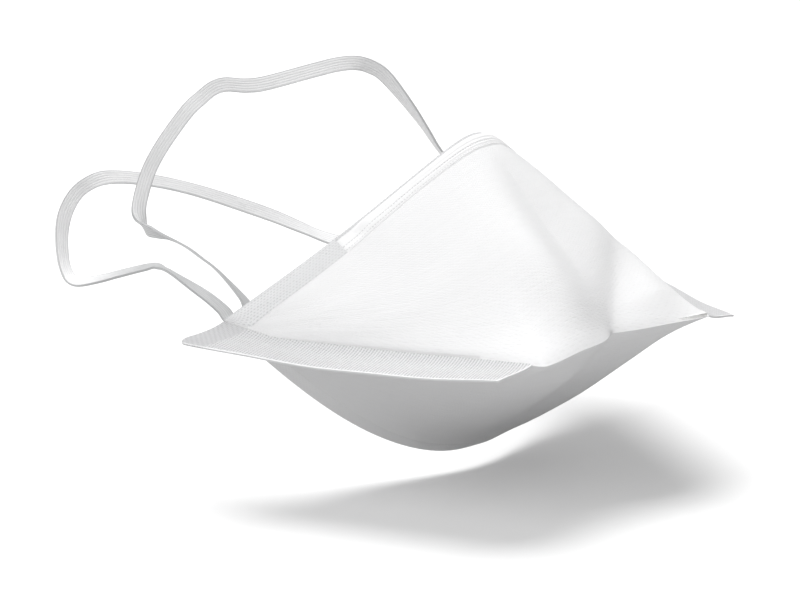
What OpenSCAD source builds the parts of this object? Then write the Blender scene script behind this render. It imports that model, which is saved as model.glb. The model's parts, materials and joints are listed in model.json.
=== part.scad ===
// Flat-fold dust mask: a layered pouch of nonwoven webs, open at the back, with
// welded side flanges, a formable nose strip and two elastic headbands.
// Millimetres. +X to the wearer's left, -Y is the front of the mask, +Z up.
// The origin is the middle of the face opening.

/* [Flat pattern] */
// Half length of each rear edge, from the middle to the side seam
rear_half = 100; // [94:1:108]
// Half length of the front fold between the side seams
fold_half = 33; // [30:1:37]
// Depth of a panel from its rear edge to the front fold
panel_depth = 85; // [80:1:90]
// Width of the welded flange outside each side seam
flange_w = 12.5; // [9:0.5:16]

/* [Opened shape] */
// Tilt of the upper panel's middle line above the horizontal
upper_tilt = 43; // [39:1:46]
// Tilt of the lower panel's middle line below the horizontal
lower_tilt = 44.5; // [40:0.5:48]
// Radius that rounds the nose point of the upper rear edge
nose_round = 12; // [6:1:18]
// Radius that rounds the chin point of the lower rear edge
chin_round = 25; // [16:1:32]
// How far the upper rear edge sags between the nose and the ears
upper_sag = 2.3; // [0:0.1:4]
// How far the lower rear edge bellies out between the chin and the ears
lower_belly = 9.5; // [6:0.5:11]
// Height of the upper panel's crown over a flat panel
upper_crown = 5; // [3:0.5:8]
// Height of the lower panel's crown over a flat panel
lower_crown = 5.5; // [3:0.5:8]
// Depth of the soft valley down the middle of both panels
valley_depth = 2; // [0:0.5:3]
// How far the middle of the front fold is pushed in
fold_dent = 8; // [4:0.5:10]
// How far the middle of the front fold hangs below its ends
fold_drop = 1; // [0:0.5:3]
// How far the middle of each side seam hangs below its ends
seam_droop = 2.7; // [0:0.1:4]
// Angle that the flange is bent up from the slope of the upper panel
flange_flare = 27; // [18:1:36]

/* [Webs] */
// Thickness of the spunbond outer cover
cover_t = 0.3; // [0.2:0.05:0.5]
// Thickness of the fluffy support web
support_t = 0.25; // [0.15:0.05:0.4]
// Thickness of each fine filter web
filter_t = 0.2; // [0.15:0.05:0.3]
// Thickness of the inner lining
lining_t = 0.2; // [0.15:0.05:0.3]
// Air between neighbouring webs
web_gap = 0.05; // [0.03:0.01:0.1]
// Thickness of the pressed side flange
flange_t = 0.9; // [0.6:0.1:1.2]

/* [Edge bindings] */
// Width of the binding folded over the rear edges
binding_w = 7.5; // [6.5:0.5:9]
// Thickness of one leaf of the binding
binding_t = 0.25; // [0.15:0.05:0.4]
// Clearance between the binding and what it covers
binding_gap = 0.2; // [0.15:0.05:0.3]

/* [Nose strip] */
// Half length of the cover tape along the rear edge
tape_half = 57; // [52:1:62]
// Thickness of the cover tape
tape_t = 0.2; // [0.15:0.05:0.3]
// Half length of the formable nose wire along the rear edge
wire_half = 45; // [40:1:48]
// Width of the nose wire's plastic sheath
sheath_w = 3; // [2.6:0.1:3.4]
// Thickness of the nose wire's plastic sheath
sheath_t = 0.6; // [0.55:0.05:0.8]
// Diameter of each steel core in the sheath
core_d = 0.35; // [0.25:0.05:0.4]
// Distance between the two steel cores
core_pitch = 1.4; // [1.2:0.1:1.6]

/* [Headbands] */
// Width of the flat elastic
band_w = 4.5; // [3.9:0.1:5.1]
// Thickness of the flat elastic
band_t = 0.7; // [0.5:0.1:0.9]
// Thickness of the pressed ends that are welded inside the mask
weld_t = 0.4; // [0.3:0.05:0.5]
// Length of each welded band end inside the mask
weld_l = 5; // [4:0.5:6.5]
// Space between the upper and the lower band along the rear edge
band_space = 2; // [1.5:0.5:4]
// Gap between a welded end and the free band, where the band bends
bend_gap = 0.3; // [0.2:0.05:0.5]

/* [Hidden] */

white = [0.94, 0.94, 0.95];
cream = [0.90, 0.90, 0.88];
grey = [0.72, 0.73, 0.75];
steel = [0.60, 0.60, 0.62];

// --- The opened pouch, in a frame with the middle of the front fold at the origin ---

// Nose and chin points of the rear edges, before rounding
nose = panel_depth * [0, cos(upper_tilt), sin(upper_tilt)];
chin = panel_depth * [0, cos(lower_tilt), -sin(lower_tilt)];
// Squared length of a side seam on the flat pattern
seam_sq = pow(panel_depth, 2) + pow(rear_half - fold_half, 2);
// The ear, where a side seam meets the rear edges: it keeps both of their flat lengths
ear_x0 = (pow(rear_half, 2) - pow(panel_depth, 2) + pow(fold_half, 2) - seam_sq) / (2 * fold_half);
ear_k = nose[1] / fold_half;
ear_b = ear_k * (ear_x0 - fold_half);
ear_y = (sqrt(ear_b * ear_b - (ear_k * ear_k + 1) * (pow(ear_x0 - fold_half, 2) - seam_sq)) - ear_b)
        / (ear_k * ear_k + 1);
ear = [ear_x0 + ear_k * ear_y, ear_y, 0];
// Middle of the face opening
seal = [0, (nose[1] + chin[1]) / 2, 0];

// Along every edge u runs from -1 at one ear to 1 at the other, and the fold ends at crease_u
crease_u = 0.3;
// How softly the crease from a fold corner to the rear edge is rounded, in u
crease_soft = 0.25;
// Spread of the fold's dent and of the valley, as shares of crease_u
dent_spread = 0.45;
valley_spread = 0.6;
// How sharply the crowns fall off towards the ears
upper_falloff = 1.4;
lower_falloff = 1.6;
// Highest value of v * sqrt(1 - v)
crown_peak = 0.3849;

function unit(p) = p / norm(p);
function flip(p) = [-p[0], p[1], p[2]];
function soft(t, r) = (t + sqrt(t * t + r * r)) / 2;
function ramp(u, r) = soft(u - crease_u, r) + soft(-u - crease_u, r) - 2 * soft(-crease_u, r);
function slide(u, r) = soft(u - crease_u, r) - soft(-u - crease_u, r);
function spread_x(u, r) = fold_half * (u - slide(u, r)) / crease_u
                          + (ear[0] - fold_half) * slide(u, r) / (1 - crease_u);

// Rear edge of a panel: a rounded V from ear to ear
function rim(u, tip, round, sag) =
    let (e = round / rear_half, t = sqrt((u * u + e * e) / (1 + e * e)), q = sqrt(u * u + 0.01 * (1 - u * u)))
    [ear[0] * u, tip[1] + (ear[1] - tip[1]) * t, tip[2] * (1 - t) - sag * sin(180 * q)];
function upper_rim(u) = rim(u, nose, nose_round, upper_sag);
function lower_rim(u) = rim(u, chin, chin_round, lower_belly);

// Front edge of a panel: side seam, fold and side seam, its corners softened by r
function front(u, r) =
    let (t = ramp(u, r) / ramp(1, r), g = exp(-pow(u / (crease_u * dent_spread), 2)))
    [ear[0] * spread_x(u, r) / spread_x(1, r), ear[1] * t + fold_dent * g,
     -fold_drop * g - seam_droop * sin(180 * t)];

// Outer surface of a panel: v runs from 0 at its rear edge to 1 at the fold and side seams
function crown(u, v, height, falloff) =
    height * v * sqrt(max(0, 1 - v)) / crown_peak * (1 - pow(abs(u), falloff))
    - valley_depth * exp(-pow(u / (crease_u * valley_spread), 2)) * sin(180 * v);
function panel(u, v, upper) =
    let (w = pow(v, 4), edge = front(u, 0) * w + front(u, crease_soft) * (1 - w),
         base = (upper ? upper_rim(u) : lower_rim(u)) * (1 - v) + edge * v,
         lift = upper ? crown(u, v, upper_crown, upper_falloff) : -crown(u, v, lower_crown, lower_falloff))
    base + [0, 0, lift];

// Unit normal of that surface, pointing out of the pouch
probe = 0.004;
function outward(u, v, upper) =
    let (u1 = min(u + probe, 1 - probe), u0 = max(u - probe, probe - 1),
         v1 = min(v + probe, 1), v0 = max(v - probe, 0),
         n = unit(cross(panel(u1, v, upper) - panel(u0, v, upper), panel(u, v1, upper) - panel(u, v0, upper))))
    upper ? -n : n;

// --- The webs' common grid ---

// Columns of the grid on one half, as values of u
half_columns = [0, 0.04, 0.08, 0.13, 0.19, 0.25, 0.3, 0.35, 0.42, 0.5, 0.59, 0.68, 0.77, 0.85, 0.9, 0.93];
// One more column, which only the outer cover has
tip_column = 0.985;
// Rows from the binding's inner edge to the fold
rows = [0, 0.16, 0.33, 0.5, 0.66, 0.79, 0.89, 0.95, 0.985, 1];
function reversed(list) = [for (i = [len(list) - 1:-1:0]) list[i]];
function mirrored(list) = concat([for (i = [len(list) - 1:-1:1]) -list[i]], list);
inner_columns = mirrored(half_columns);
cover_columns = mirrored(concat(half_columns, [tip_column]));
// Nearer the ears than this the seams have pressed the inner webs flat
web_end = 0.86;

// v at the binding's inner edge, a constant width in from the rear edge except at the ears
function binding_v(u, upper) = min(0.6, binding_w / norm(panel(u, 1, upper) - panel(u, 0, upper)));
function row_v(u, k, upper) = k == 0 ? 0 : let (b = binding_v(u, upper)) b + (1 - b) * rows[k - 1];
row_count = len(rows) + 1;

// The grid's points and normals, from the upper rear edge round the fold to the lower one
function node_at(u, k, upper) = let (v = row_v(u, k, upper)) [panel(u, v, upper), outward(u, v, upper)];
// On the fold and seams both panels' normals meet in one mitre
function mitre(a, b) = [a[0], (a[1] + b[1]) / (1 + a[1] * b[1])];
function web_column(u) = concat(
    [for (k = [0:row_count - 2]) node_at(u, k, true)],
    [mitre(node_at(u, row_count - 1, true), node_at(u, row_count - 1, false))],
    [for (k = [row_count - 2:-1:0]) node_at(u, k, false)]);
cover_grid = [for (u = cover_columns) web_column(u)];
inner_grid = [for (i = [0:len(cover_grid) - 1]) if (abs(cover_columns[i]) < web_end) cover_grid[i]];

function at(p, depth) = p[0] - p[1] * depth;

// --- Solids from rings of points ---

// A closed solid skinned over rings that all have the same number of points
module loft(rings) {
    m = len(rings[0]);
    n = len(rings);
    sides = [for (i = [0:n - 2], j = [0:m - 1])
        let (a = i * m + j, b = i * m + (j + 1) % m) each [[a, a + m, b + m], [a, b + m, b]]];
    caps = [for (j = [1:m - 2]) each [[0, j, j + 1],
            [(n - 1) * m, (n - 1) * m + j + 1, (n - 1) * m + j]]];
    polyhedron(points = [for (r = rings) each r], faces = concat(sides, caps));
}

// A sheet between two depths below the grid's surface
module web(grid, top, thick) {
    w = len(grid[0]);
    n = len(grid);
    outer = [for (c = grid) each [for (p = c) at(p, top)]];
    inner = [for (c = grid) each [for (p = c) at(p, top + thick)]];
    m = n * w;
    skin = [for (i = [0:n - 2], j = [0:w - 2])
        let (a = i * w + j) each [[a, a + w, a + 1], [a + 1, a + w, a + w + 1]]];
    back = [for (f = skin) [m + f[0], m + f[2], m + f[1]]];
    ends = [for (j = [0:w - 2]) each [[j, m + j + 1, m + j], [j, j + 1, m + j + 1]]];
    far = [for (j = [0:w - 2]) let (a = (n - 1) * w + j)
        each [[a, m + a, m + a + 1], [a, m + a + 1, a + 1]]];
    upper_edge = [for (i = [0:n - 2]) let (a = i * w, b = a + w) each [[a, m + a, m + b], [a, m + b, b]]];
    lower_edge = [for (i = [0:n - 2]) let (a = i * w + w - 1, b = a + w)
        each [[a, m + b, m + a], [a, b, m + b]]];
    polyhedron(points = concat(outer, inner),
               faces = concat(skin, back, ends, far, upper_edge, lower_edge));
}

// --- The five webs, one inside the other ---

support_top = cover_t + web_gap;
outer_filter_top = support_top + support_t + web_gap;
inner_filter_top = outer_filter_top + filter_t + web_gap;
lining_top = inner_filter_top + filter_t + web_gap;
stack_t = lining_top + lining_t;

module outer_cover() { color(white) translate(-seal) web(cover_grid, 0, cover_t); }
module support_web() { color(cream) translate(-seal) web(inner_grid, support_top, support_t); }
module outer_filter_web() { color(white) translate(-seal) web(inner_grid, outer_filter_top, filter_t); }
module inner_filter_web() { color(white) translate(-seal) web(inner_grid, inner_filter_top, filter_t); }
module inner_lining() { color(white) translate(-seal) web(inner_grid, lining_top, lining_t); }

// --- Side seams: both panels pressed flat outside the seam line ---

seam_run = ear - [fold_half, 0, 0];
seam_dir = unit(seam_run);
upper_normal = unit(cross(seam_run, nose - [fold_half, 0, 0]));
facing = upper_normal[2] < 0 ? -upper_normal : upper_normal;
side_dir = cross(seam_dir, facing);
away = side_dir * (nose - ear) > 0 ? -side_dir : side_dir;
flange_out = away * cos(flange_flare) + facing * sin(flange_flare);
flange_normal = facing * cos(flange_flare) - away * sin(flange_flare);
// The flat pattern's slope carries the flange's ends on past the seam line
end_slope = (rear_half - fold_half) / panel_depth;
seam_columns = [for (u = concat(half_columns, [tip_column, 1])) if (u >= crease_u) u];
flange_shares = [0, 0.35, 0.7, 1];
seam_gap = 0.1;

function seam_ring(u) =
    let (base = front(u, 0),
         row = [for (s = flange_shares) let (q = seam_gap + (flange_w - seam_gap) * s)
                base + flange_out * q + seam_dir * q * end_slope],
         half = flange_normal * flange_t / 2)
    concat([for (p = row) p + half], [for (i = [len(row) - 1:-1:0]) row[i] - half]);
module side_seam() { translate(-seal) loft([for (u = seam_columns) seam_ring(u)]); }
module left_side_seam() { color(white) side_seam(); }
module right_side_seam() { color(white) mirror([1, 0, 0]) side_seam(); }

// --- Bindings folded over the rear edges ---

// A point on the strip inside a rear edge: f across its width, h above the cover, out past the edge
function strip_point(u, upper, f, h, out) =
    let (b = binding_v(u, upper), p0 = panel(u, 0, upper), p1 = panel(u, b, upper),
         n = outward(u, 0, upper) * (1 - f) + outward(u, b, upper) * f)
    p0 * (1 - f) + p1 * f + n * h + unit(p0 - p1) * out;

binding_columns = [for (u = inner_columns) if (abs(u) < 0.92) u];
binding_top = binding_gap + binding_t;
binding_low = -stack_t - binding_gap;
function binding_ring(u, upper) = [
    strip_point(u, upper, 1, binding_gap, 0),
    strip_point(u, upper, 0, binding_gap, binding_gap),
    strip_point(u, upper, 0, binding_low, binding_gap),
    strip_point(u, upper, 1, binding_low, 0),
    strip_point(u, upper, 1, binding_low - binding_t, 0),
    strip_point(u, upper, 0, binding_low - binding_t, binding_top),
    strip_point(u, upper, 0, binding_top, binding_top),
    strip_point(u, upper, 1, binding_top, 0)];
module upper_edge_binding() {
    color(grey) translate(-seal) loft([for (u = binding_columns) binding_ring(u, true)]);
}
module lower_edge_binding() {
    color(grey) translate(-seal) loft([for (u = reversed(binding_columns)) binding_ring(u, false)]);
}

// --- Nose strip: a wire in a plastic sheath under a cover tape ---

strip_gap = 0.1;
strip_base = binding_top + strip_gap;
sheath_share = sheath_w / binding_w / 2;
function columns_within(half) = let (end = half / rear_half)
    concat([-end], [for (u = inner_columns) if (abs(u) < end - 0.01) u], [end]);
// Section of the tape as pairs of share across the strip and height over the binding
tape_foot = 0.07;
arch_foot = 0.5 - sheath_share - 0.1;
arch_side = 0.5 - sheath_share - 0.04;
arch_h = sheath_t + 2 * strip_gap;
tape_section = [[tape_foot, 0], [arch_foot, 0], [arch_side, arch_h], [1 - arch_side, arch_h],
                [1 - arch_foot, 0], [1 - tape_foot, 0]];
function tape_ring(u) = concat(
    [for (s = tape_section) strip_point(u, true, s[0], strip_base + s[1], 0)],
    [for (i = [len(tape_section) - 1:-1:0]) let (s = tape_section[i])
        strip_point(u, true, s[0], strip_base + s[1] + tape_t, 0)]);
module nose_strip_tape() {
    color(white) translate(-seal) loft([for (u = reversed(columns_within(tape_half))) tape_ring(u)]);
}

// The sheath's section has a groove for each core, open towards the mask
groove_half = core_d / 2 + 0.05;
groove_depth = sheath_t / 2 + groove_half;
sheath_half = sheath_w / 2;
core_x = core_pitch / 2;
sheath_section = [[-sheath_half, 0], [-core_x - groove_half, 0], [-core_x - groove_half, groove_depth],
                  [groove_half - core_x, groove_depth], [groove_half - core_x, 0],
                  [core_x - groove_half, 0], [core_x - groove_half, groove_depth],
                  [core_x + groove_half, groove_depth], [core_x + groove_half, 0],
                  [sheath_half, 0], [sheath_half, sheath_t * 0.7], [sheath_half * 0.85, sheath_t],
                  [-sheath_half * 0.85, sheath_t], [-sheath_half, sheath_t * 0.7]];
module along_nose(section, half) {
    translate(-seal) loft([for (u = columns_within(half))
        [for (i = [len(section) - 1:-1:0]) let (s = section[i])
            strip_point(u, true, 0.5 + s[0] / binding_w, strip_base + strip_gap / 2 + s[1], 0)]]);
}
core_sides = 8;
function core_section(x) = [for (i = [0:core_sides - 1])
    [x, sheath_t / 2] + core_d / 2 * [cos(360 * i / core_sides), sin(360 * i / core_sides)]];
module nose_wire_sheath() { color(white) along_nose(sheath_section, wire_half); }
module nose_wire_cores() {
    color(steel) for (x = [-core_x, core_x]) along_nose(core_section(x), wire_half - 1);
}

// --- Headbands ---

// In an ear's corner of the upper panel: a runs along the rear edge, b along the side seam
corner_k = norm(front(1, 0) - front(crease_u, 0)) / (1 - crease_u) / rear_half;
function corner_point(a, b, depth) =
    let (v = b / (b + corner_k * a), u = 1 - a / (1 - v) / rear_half)
    panel(u, v, true) - outward(u, v, true) * depth;

// Angle between rear edge and side seam at the ear, which a band's end crosses
ear_sin = norm(cross(unit(nose - ear), -seam_dir));
weld_gap = 0.25;
// The upper end passes lower still, so that it clears the binding's fold
fold_gap = 0.6;
weld_span = band_w / ear_sin;
// Where each band's end begins along the rear edge, from the ear
lower_a = 1.6;
upper_a = lower_a + weld_span + band_space;
// How deep each end lies: the lower one right under the cover, the upper one under the binding
lower_depth = cover_t + weld_gap;
upper_depth = stack_t + binding_top + fold_gap;

// The line where a band bends lies just behind the rear edge, a little lower than its welded end
bend_clear = binding_top + band_t / 2 + 0.3;
bend_drop = 0.4;
function bend_at(a, depth) =
    [ear[0] * (1 - (a + weld_span / 2) / rear_half), upper_rim(1 - a / rear_half)[1] + bend_clear,
     corner_point(a, 0.5, depth + weld_t / 2)[2] - bend_drop] - seal;
lower_bend = bend_at(lower_a, lower_depth);
upper_bend = bend_at(upper_a, upper_depth);

// A welded end: a pressed strip from inside the ear out to the bend line
function weld_ring(a, b, depth) = [
    corner_point(a, b, depth), corner_point(a + weld_span, b, depth),
    corner_point(a + weld_span, b, depth + weld_t), corner_point(a, b, depth + weld_t)];
module band_end(a, depth, bend) {
    root = bend + seal - [0, band_t / 2 + bend_gap, 0];
    half = [band_w, 0, weld_t] / 2;
    loft([[root + half, root + flip(half), root - half, root - flip(half)],
          weld_ring(a, 0.5, depth), weld_ring(a, weld_l / 2, depth), weld_ring(a, weld_l, depth)]);
}
module upper_band_left_end() { color(white) translate(-seal) band_end(upper_a, upper_depth, upper_bend); }
module upper_band_right_end() { color(white) mirror([1, 0, 0]) upper_band_left_end(); }
module lower_band_left_end() { color(white) translate(-seal) band_end(lower_a, lower_depth, lower_bend); }
module lower_band_right_end() { color(white) mirror([1, 0, 0]) lower_band_left_end(); }

// Routes from the right root to the left one. Each point is x as a share of the root's x,
// y and z from the bend line, then a direction across the band's width.
upper_route = [
    [-1.00, 0, 0, [1, 0, 0]],
    [-1.00, 4, 3.2, [1, 0.1, 0]],
    [-1.01, 14, 9, [0.66, 0.7, -0.28]],
    [-1.02, 22, 12, [0.6, 0.7, -0.35]],
    [-0.99, 30, 13.5, [0.6, 0.7, -0.4]],
    [-0.96, 43, 14.3, [0.6, 0.7, -0.4]],
    [-0.94, 50.5, 14, [0.5, 0.4, -0.7]],
    [-0.93, 55, 13.8, [0.35, -0.1, -0.9]],
    [-0.92, 58, 14.8, [0.4, -0.4, -0.8]],
    [-0.90, 61, 18.5, [0.5, -0.6, -0.6]],
    [-0.86, 62.3, 23.5, [0.6, -0.7, -0.35]],
    [-0.81, 62.3, 30, [0.7, -0.7, -0.1]],
    [-0.76, 60.3, 36.5, [0.65, -0.7, -0.25]],
    [-0.69, 57.6, 43.5, [0.5, -0.65, -0.45]],
    [-0.63, 55.3, 48.7, [0.4, -0.6, -0.6]],
    [-0.57, 54.2, 51.5, [0.3, -0.5, -0.75]],
    [-0.51, 53, 54, [0.15, -0.4, -0.9]],
    [-0.43, 52.9, 54.4, [0, -0.25, -1]],
    [-0.30, 53.2, 52.6, [0, -0.2, -1]],
    [-0.17, 53.2, 52, [0, -0.2, -1]],
    [0.09, 50.4, 53.6, [0, -0.2, -1]],
    [0.23, 48.5, 54.4, [0, -0.1, -1]],
    [0.34, 47.6, 53.8, [0, 0.1, -1]],
    [0.43, 46.8, 51.6, [0, 0.3, -0.95]],
    [0.51, 46.3, 47.8, [0.05, 0.5, -0.85]],
    [0.65, 46.3, 37.5, [0.1, 0.75, -0.6]],
    [0.76, 46.6, 28.6, [0.2, 0.82, -0.52]],
    [0.86, 46.4, 19.6, [0.35, 0.8, -0.5]],
    [0.93, 40, 11, [0.5, 0.7, -0.45]],
    [0.99, 27, 6, [0.8, 0.4, -0.2]],
    [1.00, 12, 3.5, [1, 0, 0]],
    [1.00, 0, 0, [1, 0, 0]]];
lower_route = [
    [-1.00, 0, 0, [1, 0, 0]],
    [-1.00, 3, 2, [1, 0, 0]],
    [-1.01, 7, 4.3, [1, 0.1, 0]],
    [-1.02, 12, 6.4, [0.95, 0.25, 0]],
    [-1.025, 24, 9.7, [0.75, 0.6, -0.2]],
    [-1.025, 30, 10.4, [0.75, 0.6, -0.2]],
    [-1.025, 36, 9.8, [0.8, 0.5, 0.1]],
    [-1.02, 50, 5.2, [0.88, 0.4, 0.25]],
    [-1.01, 62, 1, [0.9, 0.35, 0.3]],
    [-1.00, 73, -2.3, [0.9, 0.3, 0.3]],
    [-0.99, 79, -2.7, [0.95, 0.2, 0.1]],
    [-0.98, 82.6, -1, [0.95, 0, -0.25]],
    [-0.96, 86, 2.6, [0.85, -0.1, -0.45]],
    [-0.92, 89.7, 9, [0.8, -0.2, -0.5]],
    [-0.88, 91.2, 14.5, [0.7, -0.4, -0.55]],
    [-0.83, 91.2, 19.2, [0.6, -0.45, -0.7]],
    [-0.77, 91, 22, [0.35, -0.3, -0.85]],
    [-0.67, 91.2, 23.3, [0.1, 0, -1]],
    [-0.55, 92.2, 22.1, [0.05, 0.1, -1]],
    [-0.40, 94.2, 19.2, [0.05, 0.15, -1]],
    [-0.20, 96.8, 14.5, [0.05, 0.15, -1]],
    [0, 97.7, 9, [0.05, 0.15, -1]],
    [0.20, 96, 2.7, [0.05, 0.15, -1]],
    [0.36, 92.9, -2.7, [0.05, 0.15, -1]],
    [0.48, 89.3, -7.4, [0.05, 0.15, -1]],
    [0.60, 85, -12, [0.1, 0.15, -1]],
    [0.76, 75, -16, [0.3, 0.2, -0.9]],
    [0.90, 58, -15, [0.5, 0.2, -0.8]],
    [0.99, 37, -9, [0.8, 0.2, -0.5]],
    [1.01, 16, -3, [1, 0, 0]],
    [1.00, 4, -0.6, [1, 0, 0]],
    [1.00, 0, 0, [1, 0, 0]]];

// Catmull-Rom curve through the points p1 and p2 of four
function curve(p0, p1, p2, p3, t) =
    (2 * p1 + (p2 - p0) * t + (2 * p0 - 5 * p1 + 4 * p2 - p3) * t * t
     + (3 * p1 - p0 - 3 * p2 + p3) * t * t * t) / 2;
// Rings from one point of a route to the next
steps = 2;
function smooth(list) =
    let (n = len(list))
    concat([for (i = [0:n - 2], k = [0:steps - 1])
        curve(list[max(i - 1, 0)], list[i], list[i + 1], list[min(i + 2, n - 1)], k / steps)], [list[n - 1]]);

module band(route, bend) {
    path = smooth([for (r = route) [r[0] * bend[0], bend[1] + r[1], bend[2] + r[2]]]);
    across = smooth([for (r = route) r[3]]);
    n = len(path);
    loft([for (i = [0:n - 1])
        let (run = unit(path[min(i + 1, n - 1)] - path[max(i - 1, 0)]),
             side = unit(across[i] - run * (across[i] * run)),
             up = cross(side, run) * band_t / 2,
             wide = side * band_w / 2)
        [path[i] - wide - up, path[i] - wide + up, path[i] + wide + up, path[i] + wide - up]]);
}
module upper_headband() { color(white) band(upper_route, upper_bend); }
module lower_headband() { color(white) band(lower_route, lower_bend); }

outer_cover();
support_web();
outer_filter_web();
inner_filter_web();
inner_lining();
left_side_seam();
right_side_seam();
upper_edge_binding();
lower_edge_binding();
nose_strip_tape();
nose_wire_sheath();
nose_wire_cores();
upper_headband();
lower_headband();
upper_band_left_end();
upper_band_right_end();
lower_band_left_end();
lower_band_right_end();
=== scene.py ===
# %% [markdown]
# # A disposable dust mask
#
# A flat-fold respirator is cut and welded flat from webs of nonwoven cloth, then opened into a
# pouch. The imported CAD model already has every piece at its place. Here each piece gets its
# cloth, its pressed patterns and its soft edges.

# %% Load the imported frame
import json
import math
import bpy
import numpy as np
from mathutils import Matrix, Vector

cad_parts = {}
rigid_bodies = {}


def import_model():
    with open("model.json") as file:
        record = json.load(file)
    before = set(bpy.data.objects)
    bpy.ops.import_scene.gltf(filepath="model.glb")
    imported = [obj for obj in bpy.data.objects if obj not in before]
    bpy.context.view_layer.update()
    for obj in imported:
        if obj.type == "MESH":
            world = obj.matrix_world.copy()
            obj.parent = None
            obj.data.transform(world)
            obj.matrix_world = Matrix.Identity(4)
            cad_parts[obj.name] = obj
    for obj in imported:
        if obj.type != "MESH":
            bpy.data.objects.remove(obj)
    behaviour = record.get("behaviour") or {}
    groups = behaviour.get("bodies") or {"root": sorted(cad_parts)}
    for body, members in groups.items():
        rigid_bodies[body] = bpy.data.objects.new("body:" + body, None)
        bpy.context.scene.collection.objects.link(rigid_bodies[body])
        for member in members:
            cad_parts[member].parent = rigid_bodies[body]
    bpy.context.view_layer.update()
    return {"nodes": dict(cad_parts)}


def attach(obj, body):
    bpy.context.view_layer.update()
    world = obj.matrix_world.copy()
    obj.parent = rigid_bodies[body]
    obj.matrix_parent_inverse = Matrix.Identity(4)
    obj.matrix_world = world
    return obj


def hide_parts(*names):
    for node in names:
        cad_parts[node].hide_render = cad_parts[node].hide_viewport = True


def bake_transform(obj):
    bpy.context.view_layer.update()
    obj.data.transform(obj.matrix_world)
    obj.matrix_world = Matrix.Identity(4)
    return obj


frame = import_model()
print("CAD nodes:", sorted(frame["nodes"]))

# %% [markdown]
# ## Sizes
#
# All shape sizes are in millimetres, as on the maker's flat pattern. MM turns them into
# Blender's metres, and only where Blender is given a length.

# %% Sizes of the flat pattern
MM = 0.001
rear_half = 100
fold_half = 33
panel_depth = 85
flange_w = 12.5
print("flat pattern, mm:", 2 * rear_half, "by", 2 * panel_depth)

# %% Sizes of the webs and the bindings
cover_t = 0.3
web_thickness = {
    "support_web": 0.25,
    "outer_filter_web": 0.2,
    "inner_filter_web": 0.2,
    "inner_lining": 0.2,
}
web_gap = 0.05
stack_t = cover_t + sum(web_thickness.values()) + web_gap * len(web_thickness)
flange_t = 0.9
binding_w = 7.5
binding_t = 0.25
binding_gap = 0.2
print("all webs together, mm:", round(stack_t, 3))

# %% [markdown]
# ## The shape of the pouch
#
# The pouch could be sculpted, or simulated by blowing air into the flat pattern. A formula is
# used instead, because the seams, bindings, nose strip and band ends all have to lie on the same
# surface. Along every edge u runs from -1 at the right ear to 1 at the left one. Across a panel
# v runs from 0 at its rear edge to 1 at the front fold.

# %% The ears, and the middle of the face opening
upper_tilt = math.radians(43)
lower_tilt = math.radians(44.5)
nose = panel_depth * np.array([0, math.cos(upper_tilt), math.sin(upper_tilt)])
chin = panel_depth * np.array([0, math.cos(lower_tilt), -math.sin(lower_tilt)])
# An ear keeps its flat distance from the nose and from the end of the fold.
seam_sq = panel_depth ** 2 + (rear_half - fold_half) ** 2
ear_x0 = (rear_half ** 2 - panel_depth ** 2 + fold_half ** 2 - seam_sq) / (2 * fold_half)
ear_k = nose[1] / fold_half
ear_b = ear_k * (ear_x0 - fold_half)
ear_c = (ear_x0 - fold_half) ** 2 - seam_sq
ear_y = (math.sqrt(ear_b ** 2 - (ear_k ** 2 + 1) * ear_c) - ear_b) / (ear_k ** 2 + 1)
ear = np.array([ear_x0 + ear_k * ear_y, ear_y, 0])
seal = np.array([0, (nose[1] + chin[1]) / 2, 0])
print("ear, mm:", (ear - seal).round(2))

# %% Directions of the seam and of its flange
flange_flare = math.radians(27)


def unit(a):
    return a / np.linalg.norm(a, axis=-1, keepdims=True)


seam_run = ear - np.array([fold_half, 0, 0])
seam_dir = unit(seam_run)
facing = unit(np.cross(seam_run, nose - np.array([fold_half, 0, 0])))
facing = facing * np.sign(facing[2])
side_dir = np.cross(seam_dir, facing)
away = side_dir * -np.sign(side_dir @ (nose - ear))
flange_out = away * math.cos(flange_flare) + facing * math.sin(flange_flare)
flange_normal = facing * math.cos(flange_flare) - away * math.sin(flange_flare)
end_slope = (rear_half - fold_half) / panel_depth
seam_length = float(np.linalg.norm(seam_run))
print("seam, mm:", round(seam_length, 2))

# %% Rounded steps along the front edge
# The fold ends at u = fold_u on the left side and at -fold_u on the right one.
fold_u = 0.3


def smooth_step(x):
    x = np.clip(x, 0, 1)
    return x * x * (3 - 2 * x)


def soft(t, r):
    """A corner at t = 0 between a flat and a 45 degree slope, rounded by r."""
    return (t + np.sqrt(t * t + r * r)) / 2


def ramp(u, r):
    """0 in the middle of the fold, and rising along both side seams."""
    return soft(u - fold_u, r) + soft(-u - fold_u, r) - 2 * soft(-fold_u, r)


def slide(u, r):
    """The same rise on the left side, and a fall on the right one."""
    return soft(u - fold_u, r) - soft(-u - fold_u, r)


def spread_x(u, r):
    """Sideways distance: along the fold first, then on to the ear."""
    return fold_half * (u - slide(u, r)) / fold_u + (ear[0] - fold_half) * slide(u, r) / (1 - fold_u)


# %% The rear edges
nose_round = 12
chin_round = 25
upper_sag = 2.3
lower_belly = 9.5
sag_round = 0.01


def rim(u, tip, rounding, sag):
    """A rounded V from ear to ear, with sagging sides."""
    e = rounding / rear_half
    t = np.sqrt((u * u + e * e) / (1 + e * e))
    q = np.sqrt(u * u + sag_round * (1 - u * u))
    x = ear[0] * u
    y = tip[1] + (ear[1] - tip[1]) * t
    z = tip[2] * (1 - t) - sag * np.sin(np.pi * q)
    return np.stack([x, y, z], -1)


def rear_edge(u, upper):
    upper_rim = rim(u, nose, nose_round, upper_sag)
    lower_rim = rim(u, chin, chin_round, lower_belly)
    return np.where(upper[..., None], upper_rim, lower_rim)


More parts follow.
